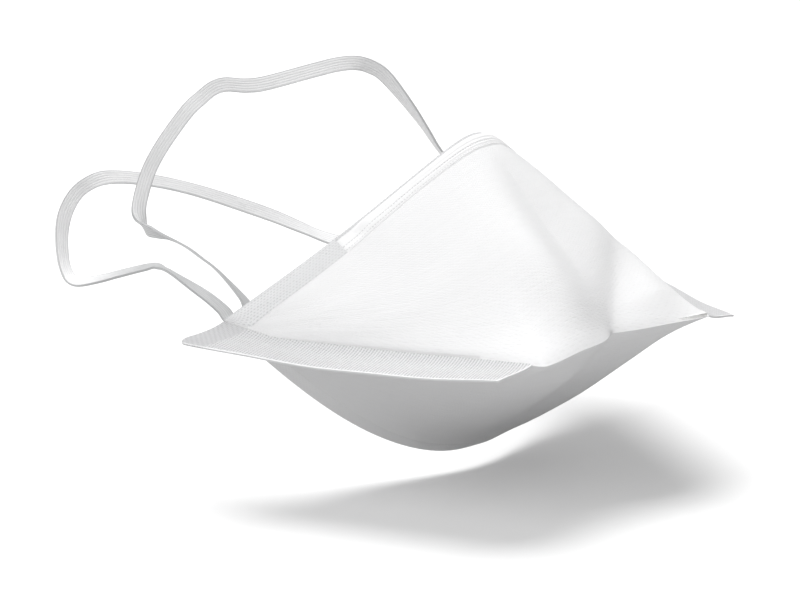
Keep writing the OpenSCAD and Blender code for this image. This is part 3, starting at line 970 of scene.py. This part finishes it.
cover_finish = spunbond("white_spunbond", light=(0.93, 0.93, 0.935), dark=(0.79, 0.79, 0.795),
                        dot_depth=0.35, fibre_depth=0.12)
lining_finish = spunbond("soft_lining", light=(0.92, 0.92, 0.92), dark=(0.86, 0.86, 0.87),
                         dot_depth=0.2, fibre_depth=0.2)
filter_finish = spunbond("filter_web", light=(0.92, 0.92, 0.91), dark=(0.84, 0.84, 0.84),
                         dot_depth=0.0, fibre_depth=0.3)
print("cloth finishes:", cover_finish.name, lining_finish.name, filter_finish.name)

# %% [markdown]
# The flange is pressed by a roller with a diagonal hatch, apart from a narrow plain margin. The
# hatch is two sets of waves that cross: deep grooves, cut into dashes by shallower ones. Where
# the rear edge's binding runs over the flange, its dots are pressed in instead.

# %% Pressed hatch
hatch_pitch = 1
hatch_lean = 73
cross_pitch = hatch_pitch * 0.8
margin_w = 0.7
tail_pitch = (0.9, 0.7)
tail_radius = (0.3, 0.2)


def wave(phase):
    """A wave between 0 and 1."""
    return phase.math("SINE") * 0.5 + 0.5


def pressed_hatch():
    material, start, shader = new_material("pressed_hatch", roughness=0.78, specular=0.25)
    x, y = cloth_position(start)
    ridge_phase = turned(x, y, hatch_lean)[1] * (2 * math.pi / hatch_pitch)
    cross_phase = turned(x, y, hatch_lean - 90)[1] * (2 * math.pi / cross_pitch)
    from_rear = (seam_length - x + y * end_slope) * ear_sine
    tail = 1 - from_rear.between(binding_w - 0.6, binding_w + 0.3)
    from_fold = x - y * end_slope
    margin = y.between(flange_w - margin_w, flange_w - margin_w * 0.4)
    inside = from_fold.between(0.4, 1.0) * (1 - margin)
    # Towards the ear the dashes are cut deeper, and the flange is painted darker as shade.
    ear_dash_and_shade = (x / seam_length).between(0.35, 0.95) * 0.45 + 0.35
    dash = 1 - wave(cross_phase).between(0.2, 0.8) * ear_dash_and_shade
    broken = noise(as_vector(x, y), 1.1).between(0.2, 0.6) * 0.5 + 0.5
    hatch = wave(ridge_phase).between(0.25, 0.85) * dash * broken * inside * (1 - tail)
    pressed = hatch + dots(x, from_rear, tail_pitch, tail_radius) * tail * 0.5
    fine = felt(x, y, (20, 3, 0.3), (-50, 3, 0.3))
    height = fine * 0.08 - pressed - tail * 0.3
    darker = pressed * 0.45 + inside * 0.42 + tail * 0.2 + ear_dash_and_shade * 0.3
    mask = (1.1 - darker + fine * 0.05).between(0.0, 1.0)
    shade(shader, height, 0.14, dark=(0.50, 0.50, 0.51), light=(0.88, 0.88, 0.885), mask=mask)
    return material


# %% [markdown]
# A binding is pressed with small dots, close enough to make it look a little greyer. Painted
# shade makes it darkest along its fold and darker at the ears than in its middle.

# %% Pressed dots of the bindings
def pressed_binding(name, dark, light, depth):
    material, start, shader = new_material(name, roughness=0.8, specular=0.25)
    x, y = cloth_position(start)
    pressed = press_dots(x, y)
    fine = felt(x, y, (5, 3, 0.3), (60, 3, 0.3))
    height = fine * 0.12 - pressed
    # Painted shade along the fold and, through middle, towards the ears.
    fold = 1 - y.math("ABSOLUTE").between(0.3, 1.3)
    middle = 1 - x.math("ABSOLUTE").between(55.0, 95.0)
    mask = (0.9 - pressed * 0.7 + fine * 0.08 - fold * 0.7 + middle * 0.35).between(0.0, 1.0)
    shade(shader, height, depth, dark=dark, light=light, mask=mask)
    return material


# %% [markdown]
# The nose tape is plain spunbond too. A row of small welds runs along each of its sides, and
# painted shade makes it darker beside the fold of the binding.

# %% Nose tape
weld_pitch = 1.05


def weld_row(x, y, place):
    """A row of short welds along the strip."""
    line = 1 - (y - place).math("ABSOLUTE").between(0.12, 0.26)
    return line * ((x / weld_pitch).math("FRACT") - 0.5).math("ABSOLUTE").between(0.1, 0.3)


def taped():
    material, start, shader = new_material("nose_tape", roughness=0.84, specular=0.2)
    x, y = cloth_position(start)
    welds = weld_row(x, y, 4.9) + weld_row(x, y, 6.6) + weld_row(x, y, 1.0) * 0.6
    fine = felt(x, y, (3, 9, 0.35), (50, 4, 0.3))
    height = fine * 0.12 - welds
    # Painted shade beside the binding's fold.
    fold = 1 - y.between(0.3, 2.0)
    mask = (0.92 - welds * 0.45 + fine * 0.08 - fold * 0.9).between(0.0, 1.0)
    shade(shader, height, 0.1, dark=(0.62, 0.62, 0.63), light=(0.96, 0.96, 0.965), mask=mask)
    return material


# %% [markdown]
# Flat elastic is knitted: covered rubber threads run lengthwise as fine ribs, and a yarn crosses
# between them. A faint painted glow makes the knit a little whiter. The end near the right ear is
# painted darker as shade, where the strap lies behind the mask.

# %% Knitted elastic
rib_pitch = 0.8
stitch_pitch = 0.45
painted_glow = 0.13


def knitted_elastic():
    material, start, shader = new_material("knitted_elastic", roughness=0.8, specular=0.2)
    x, y = cloth_position(start)
    across = y / rib_pitch
    rib = ((across * (2 * math.pi)).math("COSINE") * 0.5 + 0.5) ** 0.7
    step = across.math("ROUND").math("MODULO", 2.0) * 0.5
    stitch = wave((x / stitch_pitch + step) * (2 * math.pi))
    slub = noise(as_vector(x * 0.15, y * 2.5), 1.0)
    outer = y.math("ABSOLUTE").between(band_w / 2 - 0.35, band_w / 2 - 0.05)
    height = rib + stitch * 0.25 + slub * 0.3
    # Painted shade on the end near the right ear, where the strap lies behind the mask.
    root = 1 - x.between(40.0, 100.0)
    knit = (rib * 0.3 + stitch * 0.1 + slub * 0.7 + 0.25 - outer * 0.8).between(0.0, 1.2)
    mask = knit * 0.7 + 0.3 - root * 0.8
    shade(shader, height, 0.05, dark=(0.40, 0.405, 0.41), light=(0.95, 0.95, 0.955), mask=mask)
    # Painted glow: a faint white emission makes the strap lighter.
    shader.inputs["Emission Color"].default_value = (1, 1, 1, 1)
    shader.inputs["Emission Strength"].default_value = painted_glow
    return material


# %% Dress the cloth pieces
def dress(piece, material):
    piece.data.materials.clear()
    piece.data.materials.append(material)


hatch_finish = pressed_hatch()
tape_finish = taped()
elastic_finish = knitted_elastic()
upper_finish = pressed_binding("pressed_binding", dark=(0.58, 0.582, 0.59),
                               light=(0.77, 0.772, 0.78), depth=0.08)
# The lower binding is a lighter, flatter copy of the same finish, painted light for the pouch's shaded
# underside.
lower_finish = pressed_binding("painted_light_binding", dark=(0.80, 0.80, 0.805),
                               light=(0.88, 0.88, 0.885), depth=0.04)
finishes = {
    "outer_cover_cloth": (cover_finish, "outer_cover_web"),
    "support_web_cloth": (filter_finish, "support_nonwoven"),
    "outer_filter_web_cloth": (filter_finish, "filter_nonwoven"),
    "inner_filter_web_cloth": (filter_finish, "filter_nonwoven"),
    "inner_lining_cloth": (lining_finish, "lining_nonwoven"),
    "left_flange": (hatch_finish, "pressed_seam"),
    "right_flange": (hatch_finish, "pressed_seam"),
    "upper_edge_binding_strip": (upper_finish, "edge_binding"),
    "lower_edge_binding_strip": (lower_finish, "edge_binding"),
    "nose_tape_strip": (tape_finish, "nose_tape"),
    "upper_band_strap": (elastic_finish, "elastic"),
    "lower_band_strap": (elastic_finish, "elastic"),
}
objects = bpy.data.objects
for name, (finish, slot) in finishes.items():
    dress(objects[name], finish)
print("dressed:", len(finishes), "pieces of cloth and elastic")

# %% [markdown]
# The wire's sheath is extruded plastic with faint draw lines, and its cores are galvanised steel.

# %% Sheath and wire
def drawn_plastic():
    material, start, shader = new_material("drawn_plastic", roughness=0.45, specular=0.5)
    place = start.node("ShaderNodeTexCoord", {}, {}, "Object")
    lines = noise(place, 900.0)
    shade(shader, lines, 0.05, dark=(0.84, 0.84, 0.84), light=(0.90, 0.90, 0.90), mask=lines)
    return material


def galvanised_wire():
    material, start, shader = new_material("galvanised_wire", roughness=0.35, specular=0.5)
    shader.inputs["Metallic"].default_value = 1.0
    place = start.node("ShaderNodeTexCoord", {}, {}, "Object")
    bloom = noise(place, 1500.0, detail=3.0)
    shade(shader, bloom, 0.02, dark=(0.50, 0.50, 0.52), light=(0.66, 0.66, 0.68), mask=bloom)
    return material


dress(frame["nodes"]["nose_wire_sheath"], drawn_plastic())
dress(frame["nodes"]["nose_wire_cores"], galvanised_wire())

# %% [markdown]
# ## Cut sizes
# Both panels of a web are one piece of cloth in the flat pattern, folded at the front.

# %% [markdown]
# ## Camera, floor and light
#
# A long lens looks at the front of the mask from its right side and a little above. The mask
# hovers over a white floor, in front of a white background. Two wide soft suns light it, a high
# one and a weaker low one, and a white sky that is brighter on the mask's right side.

# %% Camera
azimuth, elevation, roll = math.radians(-43.21), math.radians(16.14), math.radians(0.97)
distance = 1.42378
back = Vector((math.sin(azimuth) * math.cos(elevation),
               -math.cos(azimuth) * math.cos(elevation),
               math.sin(elevation)))
level = Vector((math.cos(azimuth), math.sin(azimuth), 0))
rise = back.cross(level)
right = level * math.cos(roll) - rise * math.sin(roll)
up = level * math.sin(roll) + rise * math.cos(roll)
camera_data = bpy.data.cameras.new("camera")
camera_data.lens = 218.4
camera_data.sensor_width = 36
camera_data.shift_x = -0.2881
camera_data.shift_y = 0.0468
camera = bpy.data.objects.new("camera", camera_data)
camera.matrix_world = Matrix((right, up, back)).transposed().to_4x4()
camera.location = back * distance - Vector(seal) * MM
bpy.context.scene.collection.objects.link(camera)
bpy.context.scene.camera = camera
print("camera at, m:", camera.location)

# %% Floor
white = (1, 1, 1, 1)
floor_level = -0.055
floor_white = 0.55
floor_seen = 0.92
floor_glow = 0.12
deselect_all()
bpy.ops.mesh.primitive_plane_add(size=8, location=(0, 0, floor_level))
floor = bpy.context.object
floor.name = "floor"
floor_material, start, floor_shader = new_material("white_floor", roughness=1.0, specular=0.0)
seen = start.node("ShaderNodeLightPath", {}, {}, "Is Camera Ray")
whites = {0: seen, 6: (floor_white,) * 3 + (1,), 7: (floor_seen,) * 3 + (1,)}
paint = start.node("ShaderNodeMix", {"data_type": "RGBA"}, whites, 2)
start.tree.links.new(paint.socket, floor_shader.inputs["Base Color"])
floor_shader.inputs["Emission Color"].default_value = white
start.tree.links.new((seen * floor_glow).socket, floor_shader.inputs["Emission Strength"])
floor.data.materials.append(floor_material)

# %% Sky
sky_power = 0.385
side_power = 0.2
bright_side = (-1, -0.3, 0.2)
sky = bpy.data.worlds.new("studio_sky")
bpy.context.scene.world = sky
sky.use_nodes = True
start = Signal(sky.node_tree)
direction = start.node("ShaderNodeTexCoord", {}, {}, "Generated")
vectors = {0: direction, 1: bright_side}
sideways = direction.node("ShaderNodeVectorMath", {"operation": "DOT_PRODUCT"}, vectors, "Value")
strength = sideways * side_power + sky_power
seen = start.node("ShaderNodeLightPath", {}, {}, "Is Camera Ray")
backdrop = sky.node_tree.nodes["Background"]
backdrop.inputs["Color"].default_value = white
start.tree.links.new((strength * (1 - seen) + seen).socket, backdrop.inputs["Strength"])

# %% Suns
# Each sun: its power, its width in degrees and the side that it shines from.
suns = {
    "high_sun": (2.2, 40, (0.12, 0.2, 1)),
    "low_sun": (0.5, 40, (-0.8, 0.1, 0.8)),
}
for name, (power, width, side) in suns.items():
    lamp = bpy.data.lights.new(name, "SUN")
    lamp.energy = power
    lamp.angle = math.radians(width)
    sun = bpy.data.objects.new(name, lamp)
    sun.rotation_euler = Vector(side).to_track_quat("Z", "Y").to_euler()
    bpy.context.scene.collection.objects.link(sun)
bpy.context.scene.view_settings.view_transform = "Standard"
print("suns:", sorted(suns))
